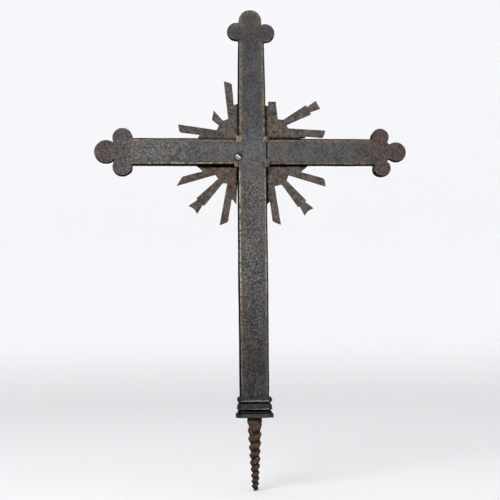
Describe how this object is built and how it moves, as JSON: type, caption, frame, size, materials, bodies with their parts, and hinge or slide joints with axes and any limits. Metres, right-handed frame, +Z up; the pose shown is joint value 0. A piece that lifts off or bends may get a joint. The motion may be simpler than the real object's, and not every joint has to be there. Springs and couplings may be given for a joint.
{
  "type": "wrought iron cross",
  "caption": "Hand-forged grave cross with trefoil ends, chamfered bars, sunburst plates in the corners of its crossing, a moulded collar and a wood screw for a foot.",
  "frame": {"origin": "centre of the collar's underside, on the axis of the foot screw, where the collar meets the wood that the cross is screwed into", "axes": "+X along the crossbar to the right as seen from the front, -Y to the front, +Z up the upright"},
  "size_m": [0.4558, 0.029, 0.6972],
  "materials": {
    "forged_iron": "forged black-grey scale, speckled with pits, tan rust along the chamfers and worn bright arrises",
    "sheet_iron": "hand-cut sheet with a brown-grey rusty skin",
    "collar_iron": "near-black forged iron, worn bright along its rims",
    "rusty_iron": "brown and orange rust, darker in the grooves of the thread",
    "bright_steel": "bare steel, dulled and scratched"
  },
  "bodies": {
    "root": {"upright": "forged_iron", "crossbar": "forged_iron", "ray_plate_upper_left": "sheet_iron", "ray_plate_upper_right": "sheet_iron", "ray_plate_lower_left": "sheet_iron", "ray_plate_lower_right": "sheet_iron", "base_collar": "collar_iron", "foot_screw": "rusty_iron", "corner_screw": "bright_steel"}
  },
  "joints": []
}
